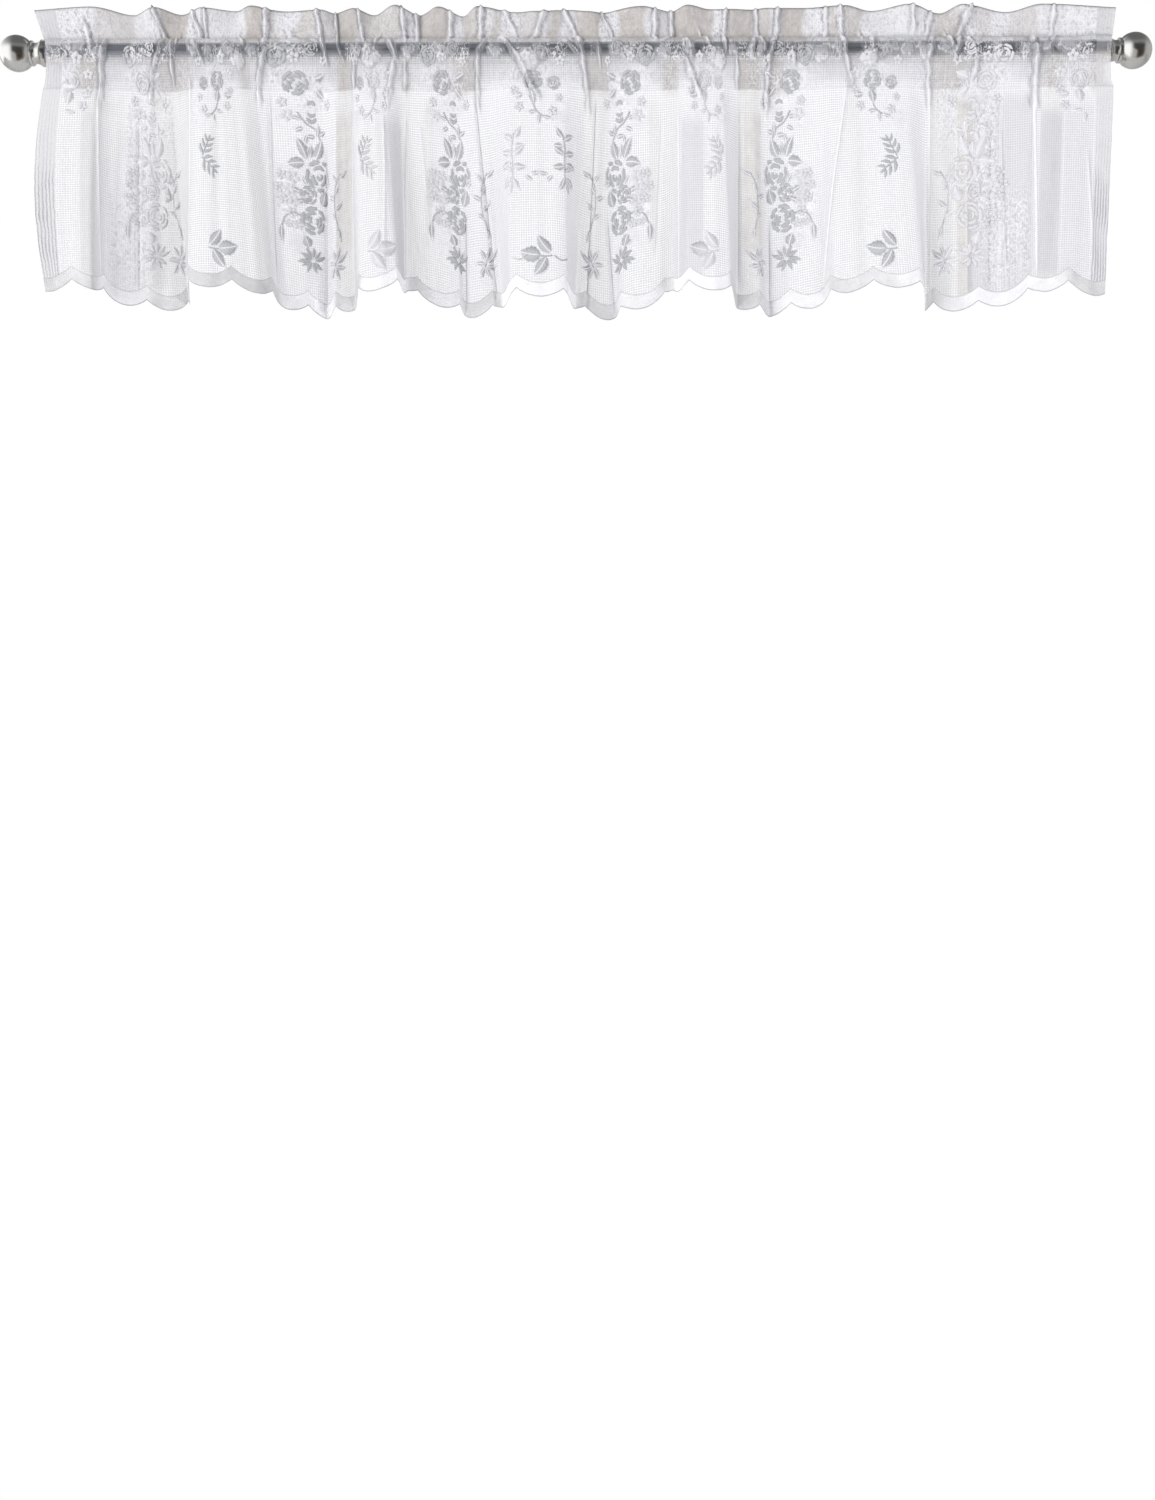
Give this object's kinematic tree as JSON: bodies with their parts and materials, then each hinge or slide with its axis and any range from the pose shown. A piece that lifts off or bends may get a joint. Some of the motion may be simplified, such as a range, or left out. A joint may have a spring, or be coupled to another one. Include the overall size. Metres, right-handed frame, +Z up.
{
  "type": "lace valance on a curtain rod with ball finials",
  "caption": "Sheer floral lace valance with a ruffled header, rod pocket and scalloped hem, gathered on a round metal rod with ball finials.",
  "frame": {"origin": "on the rod's axis, at the middle of the rod's length", "axes": "+X along the rod to the right as seen from the room, -Y towards the room, +Z up"},
  "size_m": [1.3268, 0.0658, 0.3545],
  "materials": {
    "lace": "sheer knitted polyester lace, white",
    "rod_metal": "satin",
    "brushed_nickel": "brushed nickel"
  },
  "bodies": {
    "root": {"valance": "lace", "rod": "rod_metal", "finial_left": "brushed_nickel", "finial_right": "brushed_nickel"}
  },
  "joints": []
}
